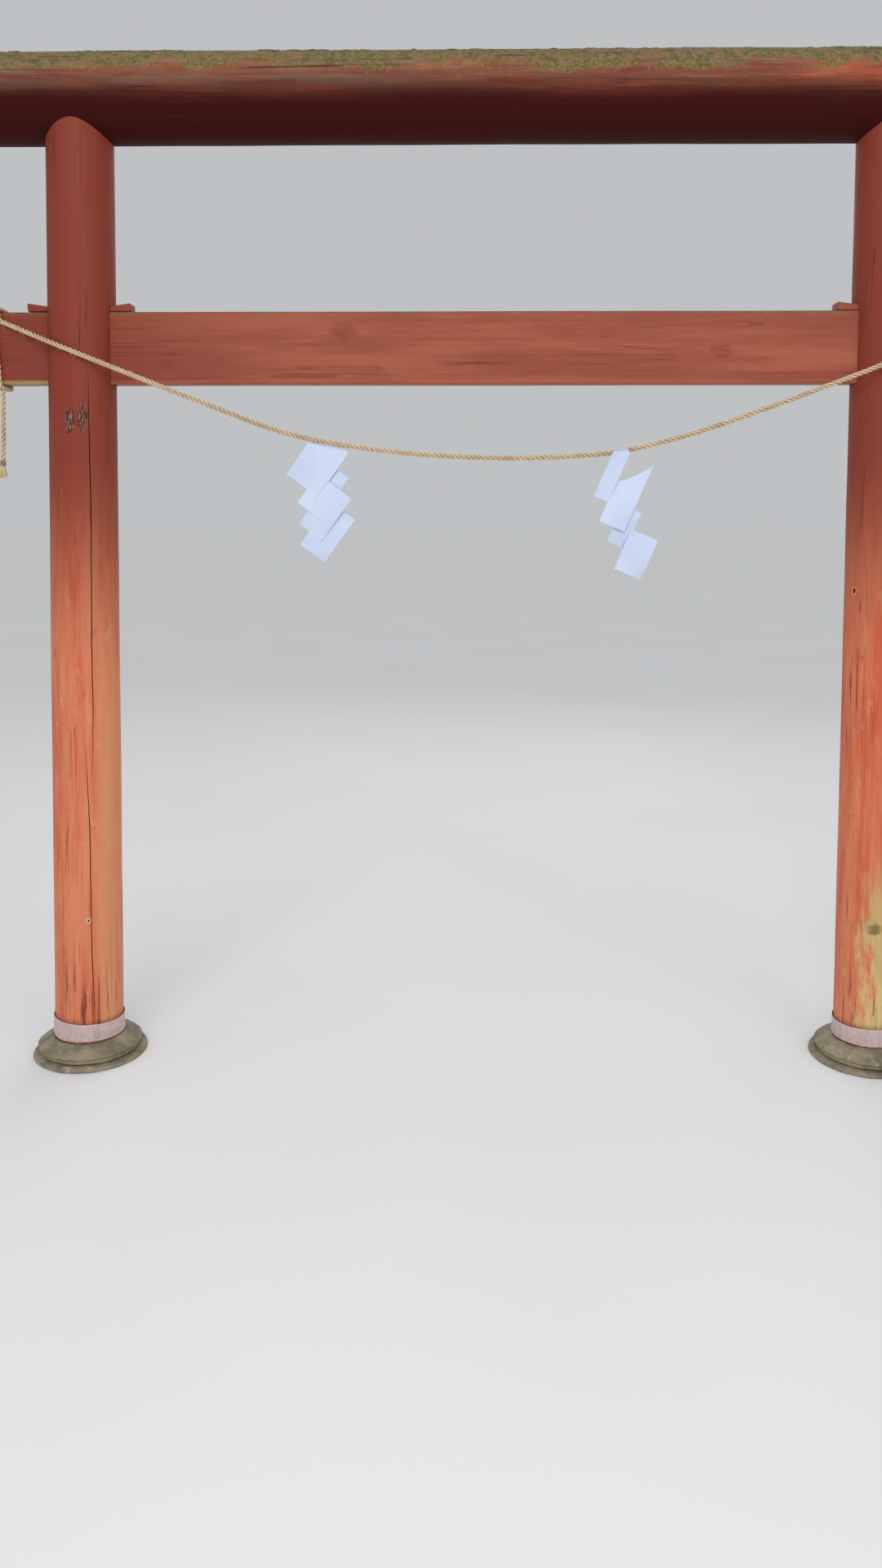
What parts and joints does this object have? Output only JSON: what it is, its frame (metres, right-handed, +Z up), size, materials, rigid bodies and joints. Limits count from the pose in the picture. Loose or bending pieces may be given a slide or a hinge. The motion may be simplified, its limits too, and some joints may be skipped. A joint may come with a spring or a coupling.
{
  "type": "torii gate",
  "caption": "Round-log torii gate with leaning posts on concrete footings, a flat tie beam through them, a log lintel and a straw rope with folded paper streamers",
  "frame": {"origin": "on the ground, midway between the two posts", "axes": "+Z is up, +X runs along the tie beam from the left post to the right one as seen from the front, and the front, where the rope hangs, faces -Y"},
  "size_m": [3.0978, 0.336, 2.6964],
  "materials": {
    "post_wood": "weathered vermilion paint on a peeled log",
    "beam_wood": "dull brown-red paint on planed timber",
    "lintel_wood": "dark red paint, mossy on top",
    "concrete": "rough cast concrete with green algae",
    "zinc": "dull zinc-coated sheet",
    "straw_rope": "twisted straw",
    "white_paper": "plain white paper"
  },
  "bodies": {
    "root": {"pad_left": "concrete", "pad_right": "concrete", "plinth_left": "concrete", "plinth_right": "concrete", "collar_left": "zinc", "collar_right": "zinc", "post_left": "post_wood", "post_right": "post_wood", "wedge_left_inner": "beam_wood", "wedge_left_outer": "beam_wood", "wedge_right_inner": "beam_wood", "wedge_right_outer": "beam_wood", "tie_beam": "beam_wood", "lintel_log": "lintel_wood", "rope": "straw_rope", "rope_hitch_left": "straw_rope", "rope_hitch_right": "straw_rope", "rope_tail_left": "straw_rope", "rope_tail_right": "straw_rope", "streamer_left": "white_paper", "streamer_right": "white_paper"}
  },
  "joints": []
}
